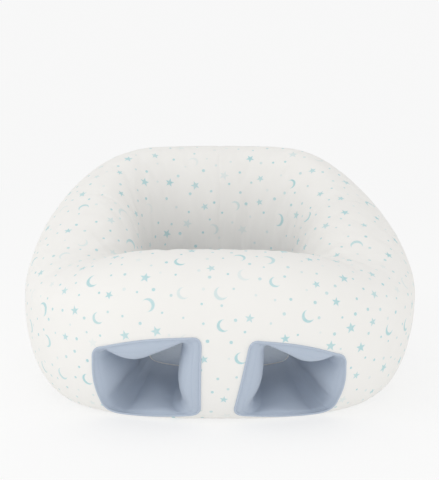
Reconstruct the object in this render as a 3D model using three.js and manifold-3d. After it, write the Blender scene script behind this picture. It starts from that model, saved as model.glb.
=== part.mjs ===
// A soft floor seat for a baby: a stuffed ring with a round well to sit in and two leg openings
// through its front. A printed knit cover goes over the ring and down into the well, where it meets a
// lining and a seat panel. Each leg opening is a funnel of four lining panels. Inside lie eight
// fillings, and a zip in the base lets them out.
//
// Millimetres, +Z up. The origin is the middle of the base on the floor, the front faces -Y, and left
// and right are those of the child who sits in it, so left is +X. Angles go round the ring from the
// front, positive towards the left.

import * as THREE from 'three';
import { mergeVertices } from 'three/addons/utils/BufferGeometryUtils.js';
import Module from 'manifold-3d';

const wasm = await Module();
wasm.setup();

// The finished seat
const seatWidth = 470;
const seatDepth = 430;
const backHeight = 260;
const frontHeight = 188;
const outlineSquareness = 2.5;

// The ring's section: the widest line, the tuck from there to the base seam, and the crown line
const bulgeHeightFront = 117;
const bulgeHeightBack = 99;
const baseTuck = 49;
const crownWidth = 300;
const crownFront = 141;
const crownBack = 152;
const crownSquareness = 2.8;
const wellDrawIn = 60;
const wellFlare = 12;
const wellWaistShare = 0.55;

// The crown line dips where the front roll meets an arm, and climbs from there to the back
const creaseAngle = 60;
const creaseDip = 26;
const creaseSpread = 20;
const climbEndAngle = 150;

// Seams that part the cover and the fillings round the ring
const coverSeamAngle = 102;
const armBackAngle = 126;
const wellSeamHeight = 120;

// Cloth and the gaps that part one layer from the next
const coverCloth = 1.6;
const liningCloth = 1.6;
const layerGap = 0.3;
const hemLift = 0.4;
const overrun = 40;

// The seat in the well
const seatHeight = 42;
const seatCrown = 6;
const seatEdgeRound = 10;

// The leg funnels, from the rim in the front of the ring to the exit in the wall of the well
const rimSetback = 25;
const legPostWidthFront = 42;
const legPostWidthWell = 26;
const legRimWidth = 120;
const legExitWidthShare = 0.96;
const legExitReachShare = 0.74;
const legRoofInner = 106;
const legRoofOuter = 84;
const legFloorInner = 10;
const legFloorOuter = -3;
const legExitRoofInner = 112;
const legExitRoofOuter = 106;
const legCornerRadius = 16;
const legRoofArch = 5;
const legRoofDroop = 16;
const legPostSwell = 18;
const rollSeamDrop = 6;

// The base and its zip
const baseCloth = 4;
const zipOffset = 64;
const zipLength = 230;
const tapeWidth = 13;
const tapeCloth = 0.8;
const toothPitch = 5;
const toothReach = 1.5;
const toothSpine = 0.8;
const toothHeight = 2;
const rowParting = 1.4;
const stopLength = 2.4;
const sliderLength = 12;
const sliderPlate = 1;
const sliderRearWidth = 8.8;
const sliderFrontWidth = 10.8;
const sliderFlange = 1.1;
const bailLength = 6.8;
const bailWire = 0.5;
const bailPost = 1;
const bailWidth = 1.8;
const pullLength = 20;
const pullWidth = 6.4;
const pullThickness = 1;
const pullNeckShare = 0.24;
const slotWidth = 14;

// How finely the curved forms are faceted
const ringSteps = 48;
const lowerSteps = 5;
const upperSteps = 6;
const innerSteps = 4;
const wellSteps = 2;
const cornerSteps = 4;
const roofSteps = 6;
const wedgeSteps = 5;

const degrees = Math.PI / 180;
const ringStepAngle = 360 / ringSteps;

// Solids and meshes

function volumeOf(positions, triangles) {
  let sum = 0;
  const a = new THREE.Vector3();
  const b = new THREE.Vector3();
  const c = new THREE.Vector3();
  for (let i = 0; i < triangles.length; i += 3) {
    a.fromArray(positions, triangles[i] * 3);
    b.fromArray(positions, triangles[i + 1] * 3);
    c.fromArray(positions, triangles[i + 2] * 3);
    sum += a.dot(b.cross(c));
  }
  return sum;
}

// A closed skin over a row of like outlines, with a cap at both ends or, if closed, joined end to end.
// flat gives an outline point its two coordinates in the plane of a cap. A strip's outline runs out
// along one face and back along the other, and both faces are split along the same diagonals.
function loft(outlines, flat, { closed = false, strip = false } = {}) {
  const count = outlines[0].length;
  const positions = outlines.flat(2);
  const triangles = [];
  const bands = closed ? outlines.length : outlines.length - 1;
  const turnBack = strip ? count / 2 : count;
  for (let i = 0; i < bands; i += 1) {
    const near = i * count;
    const far = ((i + 1) % outlines.length) * count;
    for (let j = 0; j < count; j += 1) {
      const next = (j + 1) % count;
      const across = j < turnBack ? [near + j, far + next] : [near + next, far + j];
      triangles.push(near + j, near + next, across[1], across[0], far + next, far + j);
    }
  }
  if (!closed) {
    for (const [index, first] of [[0, true], [outlines.length - 1, false]]) {
      const contour = outlines[index].map((point) => new THREE.Vector2(...flat(point)));
      const flip = THREE.ShapeUtils.isClockWise(contour) !== first;
      for (const [a, b, c] of THREE.ShapeUtils.triangulateShape(contour, [])) {
        const start = index * count;
        triangles.push(start + a, start + (flip ? c : b), start + (flip ? b : c));
      }
    }
  }
  if (volumeOf(positions, triangles) < 0) triangles.reverse();
  const geometry = new THREE.BufferGeometry();
  geometry.setAttribute('position', new THREE.Float32BufferAttribute(positions, 3));
  geometry.setIndex(triangles);
  return geometry;
}

function toSolid(geometry) {
  const bare = geometry.clone();
  bare.deleteAttribute('normal');
  bare.deleteAttribute('uv');
  const merged = mergeVertices(bare);
  return new wasm.Manifold(new wasm.Mesh({
    numProp: 3,
    vertProperties: new Float32Array(merged.attributes.position.array),
    triVerts: new Uint32Array(merged.index.array),
  }));
}

function toGeometry(solid) {
  const mesh = solid.getMesh();
  const geometry = new THREE.BufferGeometry();
  geometry.setAttribute('position', new THREE.Float32BufferAttribute(mesh.vertProperties, 3));
  geometry.setIndex(Array.from(mesh.triVerts));
  return geometry;
}

function block(low, high) {
  const size = high.map((value, i) => value - low[i]);
  const geometry = new THREE.BoxGeometry(...size);
  geometry.translate(...low.map((value, i) => value + size[i] / 2));
  return toSolid(geometry);
}

// An outline in plan, pushed up from one height to another.
function prism(points, low, high) {
  const shape = new THREE.Shape(points.map(([x, y]) => new THREE.Vector2(x, y)));
  const geometry = new THREE.ExtrudeGeometry(shape, { depth: high - low, bevelEnabled: false });
  geometry.translate(0, 0, low);
  return toSolid(geometry);
}

const bigX = seatWidth / 2 + overrun;
const bigY = seatDepth / 2 + overrun;
const bigZ = backHeight + overrun;

function trimBelow(solid, height) {
  return solid.subtract(block([-bigX, -bigY, -overrun], [bigX, bigY, height]));
}

function trimAbove(solid, height) {
  return solid.subtract(block([-bigX, -bigY, height], [bigX, bigY, bigZ]));
}

// The form of the ring

function planRadius(angle, halfWidth, reach, squareness) {
  const side = Math.abs(Math.sin(angle)) / halfWidth;
  const ahead = Math.abs(Math.cos(angle)) / reach;
  return 1 / (side ** squareness + ahead ** squareness) ** (1 / squareness);
}

function ringShape(turn) {
  const angle = turn * degrees;
  const away = Math.abs(((turn + 180) % 360) - 180);
  const climb = THREE.MathUtils.smoothstep(away, creaseAngle, climbEndAngle);
  const dip = creaseDip * Math.exp(-(((away - creaseAngle) / creaseSpread) ** 2));
  const height = THREE.MathUtils.lerp(frontHeight, backHeight, climb) - dip;
  const crownReach = Math.cos(angle) > 0 ? crownFront : crownBack;
  const outer = planRadius(angle, seatWidth / 2, seatDepth / 2, outlineSquareness);
  const crown = planRadius(angle, crownWidth / 2, crownReach, crownSquareness);
  return {
    outer,
    base: outer - baseTuck,
    crown,
    well: crown - wellDrawIn,
    height,
    bulge: THREE.MathUtils.lerp(bulgeHeightFront, bulgeHeightBack, climb),
    waist: height * wellWaistShare,
  };
}

// The well wall stands in from the crown, is narrowest at its waist and flares out to the floor.
function wellRadius(shape, height) {
  if (height > shape.waist) {
    const rise = (height - shape.waist) / (shape.height - shape.waist);
    return shape.crown - wellDrawIn * Math.sqrt(1 - rise ** 2);
  }
  return shape.well + wellFlare * (1 - height / shape.waist) ** 2;
}

// One section of the ring as [radius, height] points: from the base seam out and up over the crown,
// down to the seam in the well, and on to the floor.
function sectionPoints(turn) {
  const shape = ringShape(turn);
  const quarter = Math.PI / 2;
  const points = [];
  for (let i = 0; i < lowerSteps; i += 1) {
    const q = (quarter * i) / lowerSteps;
    points.push([shape.base + baseTuck * Math.sin(q), shape.bulge * (1 - Math.cos(q))]);
  }
  for (let i = 0; i < upperSteps; i += 1) {
    const q = (quarter * i) / upperSteps;
    const radius = shape.crown + (shape.outer - shape.crown) * Math.cos(q);
    points.push([radius, shape.bulge + (shape.height - shape.bulge) * Math.sin(q)]);
  }
  for (let i = 0; i < innerSteps; i += 1) {
    const q = (quarter * i) / innerSteps;
    const height = wellSeamHeight + (shape.height - wellSeamHeight) * Math.cos(q);
    points.push([wellRadius(shape, height), height]);
  }
  for (let i = 0; i <= wellSteps; i += 1) {
    const height = wellSeamHeight * (1 - i / wellSteps);
    points.push([wellRadius(shape, height), height]);
  }
  return points;
}

const seamIndex = lowerSteps + upperSteps + innerSteps;

// The section moved inwards by one depth, square to itself, and level at the seam in the well.
function insetPoints(points, depth) {
  return points.map(([radius, height], i) => {
    const before = points[Math.max(i - 1, 0)];
    const after = points[Math.min(i + 1, points.length - 1)];
    const along = new THREE.Vector2(after[0] - before[0], after[1] - before[1]).normalize();
    if (i === 0) along.set(1, 0);
    if (i === seamIndex) along.set(0, -1);
    return [radius - along.y * depth, height + along.x * depth];
  });
}

function ringOutlines(build) {
  const outlines = [];
  for (let i = 0; i < ringSteps; i += 1) {
    const angle = i * ringStepAngle * degrees;
    const points = build(sectionPoints(i * ringStepAngle));
    outlines.push(points.map(([radius, z]) => [radius * Math.sin(angle), -radius * Math.cos(angle), z]));
  }
  return outlines;
}

const acrossRing = ([x, y, z]) => [Math.hypot(x, y), z];
const fillingInset = coverCloth + layerGap;
const ringWhole = ringOutlines((points) => points);
const ringFilling = ringOutlines((points) => insetPoints(points, fillingInset));
const coverStrip = ringOutlines((points) => {
  const outside = points.slice(0, seamIndex + 1);
  return [...outside, ...insetPoints(points, coverCloth).slice(0, seamIndex + 1).reverse()];
});
const liningStrip = ringOutlines((points) => {
  const wall = points.slice(seamIndex);
  return [...wall, ...insetPoints(points, liningCloth).slice(seamIndex).reverse()];
});

// The parting between two pieces of the ring, as an angle at the wall of the well.
const wellFront = crownFront - wellDrawIn;
const wellHalfWidth = crownWidth / 2 - wellDrawIn;
const partAngle = layerGap / wellFront / degrees / 2;

// What lies between two angles of a solid that goes all round the ring, short of the partings.
function ringPiece(solid, from, to) {
  const far = seatWidth + seatDepth;
  const points = [[0, 0]];
  for (let i = 0; i <= wedgeSteps; i += 1) {
    const turn = THREE.MathUtils.lerp(from + partAngle, to - partAngle, i / wedgeSteps) * degrees;
    points.push([far * Math.sin(turn), -far * Math.cos(turn)]);
  }
  return solid.intersect(prism(points, -overrun, bigZ));
}

// The leg funnels

const rimReach = seatDepth / 2 - rimSetback;
const exitReach = wellFront * legExitReachShare;
const legStationShares = [-0.35, -0.02, 0.14, 0.4, 0.7, 1, 1.12];
const legBowShares = [0, 0, 1, 1, 0.7, 0.3, 0.3];
const legSwellShares = [0, 0, 0.55, 1, 0.6, 0, 0];
const fillingFloor = baseCloth + layerGap;

// Where the funnel's sides lie at one station between rim and exit. The stuffing of the post between the
// legs swells the inner wall.
function legSides(station) {
  const share = legStationShares[station];
  const along = (rim, exit) => rim + (exit - rim) * share;
  const exitOuter = wellHalfWidth * legExitWidthShare;
  return {
    y: -along(rimReach, exitReach),
    inner: along(legPostWidthFront / 2, legPostWidthWell / 2) + legPostSwell * legSwellShares[station],
    outer: along(legPostWidthFront / 2 + legRimWidth, exitOuter),
    roofInner: along(legRoofInner, legExitRoofInner),
    roofOuter: along(legRoofOuter, legExitRoofOuter),
    floorInner: along(legFloorInner, seatHeight),
    floorOuter: along(legFloorOuter, seatHeight),
  };
}

function legCorners(sides, grow) {
  const corners = [
    new THREE.Vector2(sides.inner, sides.floorInner),
    new THREE.Vector2(sides.outer, sides.floorOuter),
    new THREE.Vector2(sides.outer, sides.roofOuter),
    new THREE.Vector2(sides.inner, sides.roofInner),
  ];
  return corners.map((corner, i) => {
    const into = corner.clone().sub(corners[(i + 3) % 4]).normalize();
    const onward = corners[(i + 1) % 4].clone().sub(corner).normalize();
    const facing = new THREE.Vector2(into.y, -into.x);
    const outward = facing.clone().add(new THREE.Vector2(onward.y, -onward.x)).normalize();
    return corner.clone().addScaledVector(outward, grow / outward.dot(facing));
  });
}

// One side of a funnel's outline, from the middle of one rounded corner to the middle of the next.
// The sides are floor, outer wall, roof and inner wall. The roof arches at the rim and droops behind it.
function legSidePoints(station, side, grow) {
  const corners = legCorners(legSides(station), grow);
  const start = corners[side];
  const end = corners[(side + 1) % 4];
  const roundedCorner = (corner, before, after) => {
    const a = corner.clone().add(before.clone().sub(corner).setLength(legCornerRadius));
    const b = corner.clone().add(after.clone().sub(corner).setLength(legCornerRadius));
    return new THREE.QuadraticBezierCurve(a, corner, b).getPoints(cornerSteps);
  };
  const first = roundedCorner(start, corners[(side + 3) % 4], end).slice(cornerSteps / 2);
  const last = roundedCorner(end, start, corners[(side + 2) % 4]).slice(0, cornerSteps / 2 + 1);
  const points = [...first];
  if (side === 2) {
    const from = first[first.length - 1];
    const bow = THREE.MathUtils.lerp(legRoofArch, -legRoofDroop, legBowShares[station]);
    for (let i = 1; i < roofSteps; i += 1) {
      const point = from.clone().lerp(last[0], i / roofSteps);
      point.y += bow * Math.sin((Math.PI * i) / roofSteps);
      points.push(point);
    }
  }
  points.push(...last);
  return points;
}

const acrossLeg = ([x, , z]) => [x, z];
const placeInLeg = (points, station, hand) => {
  const { y } = legSides(station);
  return points.map((point) => [hand * point.x, y, point.y]);
};

function legHole(hand, grow) {
  const outlines = legStationShares.map((share, station) => {
    const points = [0, 1, 2, 3].flatMap((side) => legSidePoints(station, side, grow).slice(0, -1));
    return placeInLeg(points, station, hand);
  });
  return toSolid(loft(outlines, acrossLeg));
}

function legPanel(hand, side) {
  const outlines = legStationShares.map((share, station) => {
    const part = (points) => {
      const trimmed = points.map((point) => point.clone());
      const last = points.length - 1;
      trimmed[0].lerp(points[1], layerGap / points[0].distanceTo(points[1]));
      trimmed[last].lerp(points[last - 1], layerGap / points[last].distanceTo(points[last - 1]));
      return trimmed;
    };
    const outside = part(legSidePoints(station, side, 0));
    const inside = part(legSidePoints(station, side, -liningCloth));
    return placeInLeg([...outside, ...inside.reverse()], station, hand);
  });
  return toSolid(loft(outlines, acrossLeg, { strip: true }));
}

// Everything across a funnel's path between two sides, from one height to another in each section.
function legBlock(hand, lowX, highX, low, high) {
  const outlines = legStationShares.map((share, station) => {
    const sides = legSides(station);
    const [a, b] = [lowX(sides), highX(sides)];
    const corners = [[a, low(sides)[0]], [b, low(sides)[1]], [b, high(sides)[1]], [a, high(sides)[0]]];
    return corners.map(([x, z]) => [hand * x, sides.y, z]);
  });
  return toSolid(loft(outlines, acrossLeg));
}

// The zip's channel through whatever lies over it

const zipHalf = zipLength / 2;
const slotHalf = zipHalf + pullLength + sliderLength / 2;
const tapeInner = rowParting / 2 + toothReach + toothSpine + layerGap;
const tapeFloor = baseCloth + layerGap;
const tapeTop = tapeFloor + tapeCloth;
const toothMiddle = tapeFloor + tapeCloth / 2;
const toothFloor = toothMiddle - toothHeight / 2;
const toothTop = toothMiddle + toothHeight / 2;
const sliderFloor = toothFloor - layerGap - sliderPlate;
const sliderTop = toothTop + layerGap + sliderPlate;

function clearZip(solid) {
  const side = tapeInner + tapeWidth + layerGap;
  const end = slotHalf + layerGap;
  const bed = block([-end, zipOffset - side, -overrun], [end, zipOffset + side, tapeTop + layerGap]);
  const lane = slotWidth / 2;
  const run = block([-end, zipOffset - lane, -overrun], [end, zipOffset + lane, sliderTop + layerGap]);
  return solid.subtract(bed).subtract(run);
}

// The group and its pieces

const seat = new THREE.Group();
seat.name = 'baby_pouf';

function addPiece(name, solid, finish) {
  const mesh = new THREE.Mesh(toGeometry(solid), new THREE.MeshStandardMaterial(finish));
  mesh.name = name;
  seat.add(mesh);
}

const printedKnit = { color: 0xefeeea, roughness: 0.95, metalness: 0 };
const blueLining = { color: 0xa9b8cd, roughness: 0.9, metalness: 0 };
const baseFabric = { color: 0xd8d8d6, roughness: 0.95, metalness: 0 };
const fibreFilling = { color: 0xf7f6f2, roughness: 1, metalness: 0 };
const zipFabric = { color: 0xe6e6e4, roughness: 0.85, metalness: 0 };
const zipNylon = { color: 0xdadada, roughness: 0.5, metalness: 0 };
const zipMetal = { color: 0xb9bcc0, roughness: 0.35, metalness: 0.9 };
const hands = [['left', 1], ['right', -1]];

// The legs' holes through the soft layers, one gap larger than the funnels
const legHoles = hands.map(([, hand]) => legHole(hand, layerGap));
const cutLegs = (solid) => legHoles.reduce((left, hole) => left.subtract(hole), solid);

// Cover: one front panel from side seam to side seam, and two back panels
const coverRing = trimBelow(toSolid(loft(coverStrip, acrossRing, { closed: true, strip: true })), hemLift);
const frontPanel = ringPiece(coverRing, -coverSeamAngle, coverSeamAngle);
addPiece('cover_front_panel', cutLegs(frontPanel), printedKnit);
for (const [side, from, to] of [
  ['left', coverSeamAngle, 180],
  ['right', 180, 360 - coverSeamAngle],
]) {
  addPiece(`cover_back_${side}_panel`, ringPiece(coverRing, from, to), printedKnit);
}

// The seat: a crowned pad in the well, its cloth panel, and the lining of the wall above it
const seatEdge = seatHeight - liningCloth - layerGap - seatCrown;

function wellOutline(share, height) {
  const points = [];
  for (let i = 0; i < ringSteps; i += 2) {
    const turn = i * ringStepAngle;
    const radius = (ringShape(turn).well - layerGap) * share;
    points.push([radius * Math.sin(turn * degrees), -radius * Math.cos(turn * degrees), height]);
  }
  return points;
}

const inPlan = ([x, y]) => [x, y];
const edgeShare = 1 - seatEdgeRound / wellHalfWidth;
const crownShares = [edgeShare, 0.66, 0.4, 0.14];
const crownHeight = (share) => seatEdge + seatCrown * (1 - (share / edgeShare) ** 2);
const padOutlines = [
  wellOutline(1, fillingFloor),
  wellOutline(1, seatEdge - seatEdgeRound / 2),
  ...crownShares.map((share) => wellOutline(share, crownHeight(share))),
];
addPiece('seat_filling', clearZip(toSolid(loft(padOutlines, inPlan))), fibreFilling);

const panelUnderside = [...crownShares].reverse().map((share) => {
  return wellOutline(share, crownHeight(share) + layerGap);
});
const panelTop = crownShares.map((share) => {
  return wellOutline(share, crownHeight(share) + layerGap + liningCloth);
});
const panelOutlines = [
  ...panelUnderside,
  wellOutline(1, seatEdge - seatEdgeRound / 2 + layerGap),
  wellOutline(1, seatEdge - seatEdgeRound / 2 + layerGap + liningCloth),
  ...panelTop,
];
addPiece('seat_panel', toSolid(loft(panelOutlines, inPlan)), blueLining);

const liningRing = toSolid(loft(liningStrip, acrossRing, { closed: true, strip: true }));
const liningTop = trimAbove(liningRing, wellSeamHeight - layerGap);
const liningHem = seatEdge - seatEdgeRound;
const underFunnel = (hand) => legBlock(hand, (sides) => sides.inner - layerGap,
  (sides) => sides.outer + layerGap, () => [-overrun, -overrun],
  (sides) => [sides.floorInner + legCornerRadius, sides.floorOuter + legCornerRadius]);
const liningWall = cutLegs(trimBelow(liningTop, liningHem));
addPiece('well_lining', liningWall.subtract(underFunnel(1)).subtract(underFunnel(-1)), printedKnit);

// Leg funnels: floor, outer wall, roof and inner wall, cut flush with the ring on both ends
const ringBody = toSolid(loft(ringWhole, acrossRing, { closed: true }));
const panelNames = ['floor', 'outer_wall', 'roof', 'inner_wall'];
for (const [side, hand] of hands) {
  panelNames.forEach((name, index) => {
    addPiece(`leg_${side}_${name}`, legPanel(hand, index).intersect(ringBody), blueLining);
  });
}

// Fillings of the ring: the roll over the legs, the post between them, two arms and the back
const rollUnderside = legRoofOuter - rollSeamDrop;
const fillingBody = trimBelow(toSolid(loft(ringFilling, acrossRing, { closed: true })), fillingFloor);
const rollPiece = ringPiece(fillingBody, -creaseAngle, creaseAngle);
addPiece('front_roll_filling', trimBelow(cutLegs(rollPiece), rollUnderside), fibreFilling);

const postEdge = (sides) => sides.inner - layerGap;
const postHigh = rollUnderside - layerGap;
const postBlock = legBlock(1, (sides) => -postEdge(sides), postEdge, () => [fillingFloor, fillingFloor],
  () => [postHigh, postHigh]);
addPiece('centre_post_filling', postBlock.intersect(fillingBody), fibreFilling);

// An arm reaches forward under the end of the roll, as far as the funnel's outer wall.
const legOuterEdge = (sides) => sides.outer + layerGap;
for (const [side, hand] of hands) {
  const from = hand > 0 ? 0 : 360 - armBackAngle;
  const arm = ringPiece(fillingBody, from, from + armBackAngle);
  const crease = (creaseAngle + partAngle) * degrees;
  const far = seatWidth;
  const rollZone = prism([
    [-hand * layerGap, layerGap],
    [-hand * layerGap, -far],
    [hand * far * Math.sin(crease), -far],
    [hand * far * Math.sin(crease), -far * Math.cos(crease)],
  ], rollUnderside - layerGap, bigZ);
  const legZone = legBlock(hand, (sides) => -sides.inner, legOuterEdge, () => [-overrun, -overrun],
    () => [rollUnderside, rollUnderside]);
  const cut = cutLegs(arm.subtract(rollZone).subtract(legZone));
  addPiece(`arm_${side}_filling`, clearZip(cut), fibreFilling);
}
const backPiece = ringPiece(fillingBody, armBackAngle, 360 - armBackAngle);
addPiece('back_filling', clearZip(backPiece), fibreFilling);

// Ramps that carry the funnels' floors from the seat down to the rims
const padZone = toSolid(loft([wellOutline(1, -overrun), wellOutline(1, bigZ)].map((outline) => {
  return outline.map(([x, y, z]) => {
    const radius = Math.hypot(x, y);
    const grown = 1 + (2 * layerGap) / radius;
    return [x * grown, y * grown, z];
  });
}), inPlan));
const frontSolid = ringOutlines((points) => {
  const outside = insetPoints(points, fillingInset).slice(0, lowerSteps + upperSteps + 1);
  const top = outside[outside.length - 1];
  return [...outside, [legPostWidthWell / 2, top[1]], [legPostWidthWell / 2, 0]];
});
const frontBody = toSolid(loft(frontSolid, acrossRing, { closed: true }));
hands.forEach(([side, hand], index) => {
  const wedge = legBlock(hand, (sides) => sides.inner, (sides) => sides.outer,
    () => [-overrun, -overrun], (sides) => [sides.floorInner, sides.floorOuter]
      .map((height) => height + legCornerRadius));
  const ramp = wedge.intersect(frontBody).subtract(padZone).subtract(legHoles[index]);
  addPiece(`leg_${side}_ramp_filling`, trimBelow(ramp, fillingFloor), fibreFilling);
});

// Base: two panels that meet in a seam beyond both ends of the zip and are parted by its slot
const baseOutline = [];
for (let i = 0; i < ringSteps; i += 1) {
  const turn = i * ringStepAngle;
  const radius = ringShape(turn).base - layerGap;
  baseOutline.push([radius * Math.sin(turn * degrees), -radius * Math.cos(turn * degrees)]);
}
const baseWhole = prism(baseOutline, 0, baseCloth).subtract(
  block([-slotHalf, zipOffset - slotWidth / 2, -overrun], [slotHalf, zipOffset + slotWidth / 2, overrun]),
);
const seamHalf = layerGap / 2;
addPiece('base_front_panel', baseWhole.subtract(
  block([-bigX, zipOffset - seamHalf, -overrun], [bigX, bigY, overrun]),
), baseFabric);
addPiece('base_rear_panel', baseWhole.subtract(
  block([-bigX, -bigY, -overrun], [bigX, zipOffset + seamHalf, overrun]),
), baseFabric);

// Zip: on each side a tape on the base panel and a row of teeth on its edge, and a stop at each end
function toothRow(toSide, shift) {
  const tip = rowParting / 2;
  const root = tip + toothReach;
  const back = root + toothSpine;
  const points = [[-zipHalf, back], [-zipHalf, root]];
  const count = Math.floor((zipLength - toothPitch) / toothPitch);
  for (let i = 0; i < count; i += 1) {
    const start = -zipHalf + shift + (i + 1 / 4) * toothPitch;
    const end = start + toothPitch / 2;
    const taper = toothPitch / 10;
    points.push([start, root], [start + taper, tip], [end - taper, tip], [end, root]);
  }
  points.push([zipHalf, root], [zipHalf, back]);
  return prism(points.map(([x, y]) => [x, zipOffset + toSide * y]), toothFloor, toothTop);
}

for (const [side, toSide, shift] of [['front', -1, 0], ['rear', 1, toothPitch / 2]]) {
  const near = zipOffset + toSide * tapeInner;
  const far = zipOffset + toSide * (tapeInner + tapeWidth);
  const [low, high] = [Math.min(near, far), Math.max(near, far)];
  const tape = block([-slotHalf, low, tapeFloor], [slotHalf, high, tapeTop]);
  addPiece(`zip_${side}_tape`, tape, zipFabric);
  addPiece(`zip_${side}_teeth`, toothRow(toSide, shift), zipNylon);
}
const stopHalf = tapeInner - layerGap;
for (const [side, hand] of hands) {
  const near = hand * (zipHalf + layerGap);
  const far = hand * (zipHalf + layerGap + stopLength);
  addPiece(`zip_${side}_stop`, block(
    [Math.min(near, far), zipOffset - stopHalf, toothFloor],
    [Math.max(near, far), zipOffset + stopHalf, toothTop],
  ), zipNylon);
}

// Slider: two plates and flanges round the teeth, a thin post between the rows, and a bail below.
// It stands at the left end, where the zip is shut.
const sliderHalf = sliderLength / 2;
const sliderX = zipHalf - sliderHalf - layerGap;
const flared = (inset, length) => {
  const [rear, front] = [sliderRearWidth / 2 - inset, sliderFrontWidth / 2 - inset];
  return [[-length, -rear], [length, -front], [length, front], [-length, rear]]
    .map(([x, y]) => [sliderX + x, zipOffset + y]);
};
const sliderShell = prism(flared(0, sliderHalf), sliderFloor, sliderTop);
const channel = prism(flared(sliderFlange, sliderHalf + layerGap), sliderFloor + sliderPlate,
  sliderTop - sliderPlate);
const tapeSlot = block(
  [sliderX - sliderLength, zipOffset - sliderFrontWidth, tapeFloor - layerGap],
  [sliderX + sliderLength, zipOffset + sliderFrontWidth, tapeTop + layerGap],
);
const postHalf = rowParting / 2 - layerGap;
const sliderPost = block(
  [sliderX, zipOffset - postHalf, sliderFloor + sliderPlate / 2],
  [sliderX + sliderHalf - sliderPlate, zipOffset + postHalf, sliderTop - sliderPlate / 2],
);
const bailFloor = layerGap;
const bailHalf = bailLength / 2;
const bailOuter = block(
  [sliderX - bailHalf, zipOffset - bailWidth / 2, bailFloor],
  [sliderX + bailHalf, zipOffset + bailWidth / 2, sliderFloor + sliderPlate / 2],
);
const bailEye = block(
  [sliderX - bailHalf + bailPost, zipOffset - bailWidth, bailFloor + bailWire],
  [sliderX + bailHalf - bailPost, zipOffset + bailWidth, sliderFloor],
);
addPiece('zip_slider', sliderShell.subtract(channel).subtract(tapeSlot).add(sliderPost)
  .add(bailOuter.subtract(bailEye)), zipMetal);

// Pull: a tab that swings on the bail, with a round bar through its eye
const pivotHeight = (bailFloor + bailWire + sliderFloor) / 2;
const pullHalf = pullWidth / 2;
const neck = pullLength * pullNeckShare;
const armInner = bailWidth / 2 + layerGap;
const pullBar = new THREE.CylinderGeometry(pullThickness / 2, pullThickness / 2, 2 * pullHalf, 8);
pullBar.translate(sliderX, zipOffset, pivotHeight);
const tabLow = pivotHeight - pullThickness / 2;
const tabHigh = pivotHeight + pullThickness / 2;
const tabOutline = (start, end, half) => {
  const shape = [];
  for (let i = 0; i <= cornerSteps; i += 1) {
    const turn = (Math.PI / 2) * (i / cornerSteps);
    shape.push([-end + half * (1 - Math.sin(turn)), half * Math.cos(turn)]);
  }
  return [[-start, half], ...shape, ...shape.slice(0, -1).reverse().map(([x, y]) => [x, -y]),
    [-start, -half]].map(([x, y]) => [sliderX + x, zipOffset + y]);
};
const tab = prism(tabOutline(0, pullLength, pullHalf), tabLow, tabHigh);
const eye = block([sliderX - neck, zipOffset - armInner, -overrun],
  [sliderX + sliderLength, zipOffset + armInner, overrun]);
addPiece('zip_pull', tab.subtract(eye).add(toSolid(pullBar)), zipMetal);

export default seat;
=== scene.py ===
"""A soft floor seat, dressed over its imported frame: a stuffed ring in a printed knit cover, with a
round well to sit in, two leg openings lined in plain blue cloth, and a zipped base.

Metres, +Z up, the front with the leg openings towards -Y, the seat's own left towards +X. Turns go
round the ring from the front, and places run up its section: 0 at the base seam, 1 at the widest
line, 2 on the crown, 3 at the seam in the well and 4 at the foot of the well."""

import math

import bmesh
import bpy
import numpy as np
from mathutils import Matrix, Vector
from mathutils.bvhtree import BVHTree
from mathutils.kdtree import KDTree


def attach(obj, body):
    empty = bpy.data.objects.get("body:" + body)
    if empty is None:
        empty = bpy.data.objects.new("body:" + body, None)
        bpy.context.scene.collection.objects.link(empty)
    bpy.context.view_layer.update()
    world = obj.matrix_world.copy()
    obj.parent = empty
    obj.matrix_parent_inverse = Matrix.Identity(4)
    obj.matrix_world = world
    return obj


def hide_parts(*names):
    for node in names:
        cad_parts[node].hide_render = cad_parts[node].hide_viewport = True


stage = bpy.context.scene
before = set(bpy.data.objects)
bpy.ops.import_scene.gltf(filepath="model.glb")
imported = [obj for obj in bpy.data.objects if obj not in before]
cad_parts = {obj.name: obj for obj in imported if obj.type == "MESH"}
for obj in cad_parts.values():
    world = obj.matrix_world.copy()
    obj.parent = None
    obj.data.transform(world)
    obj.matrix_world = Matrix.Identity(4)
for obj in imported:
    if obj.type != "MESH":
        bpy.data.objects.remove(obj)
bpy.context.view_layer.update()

# Fillings. Eight cases of thin white liner cloth, blown full of loose polyester fibre and sewn
# shut. They lie side by side in the cover: a roll over the leg openings, a post between them, two
# arms, the back, a ramp under each opening and a flat pad to sit on.


class Amount:
    """A number or colour that varies over a surface, so that shader sums read as sums."""

    def __init__(self, finish, socket):
        self.finish, self.socket = finish, socket

    def sum(self, operation, *others, **settings):
        values = dict(enumerate((self, *others)))
        return self.finish.node("Math", {"operation": operation, **settings}, values)["Value"]

    def __add__(self, other):
        return self.sum("ADD", other)

    def __sub__(self, other):
        return self.sum("SUBTRACT", other)

    def __rsub__(self, other):
        return self.finish.node("Math", {"operation": "SUBTRACT"}, {0: other, 1: self})["Value"]

    def __mul__(self, other):
        return self.sum("MULTIPLY", other)

    def __truediv__(self, other):
        return self.sum("DIVIDE", other)

    __radd__, __rmul__ = __add__, __mul__

    def held(self):
        """Kept between 0 and 1."""
        return self.sum("ADD", 0.0, use_clamp=True)

    def most(self, other):
        return self.sum("MAXIMUM", other)

    def sine(self):
        return self.sum("SINE")

    def wave(self, pitch):
        return (self * (2 * math.pi / pitch)).sine()


def socket_of(sockets, key):
    """The socket with that number or name."""
    if isinstance(key, int):
        return sockets[key]
    return next(s for s in sockets if key in (s.identifier, s.name))


class Outputs:
    """A node's outputs by name."""

    def __init__(self, finish, node):
        self.finish, self.made = finish, node

    def __getitem__(self, name):
        return Amount(self.finish, socket_of(self.made.outputs, name))


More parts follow.
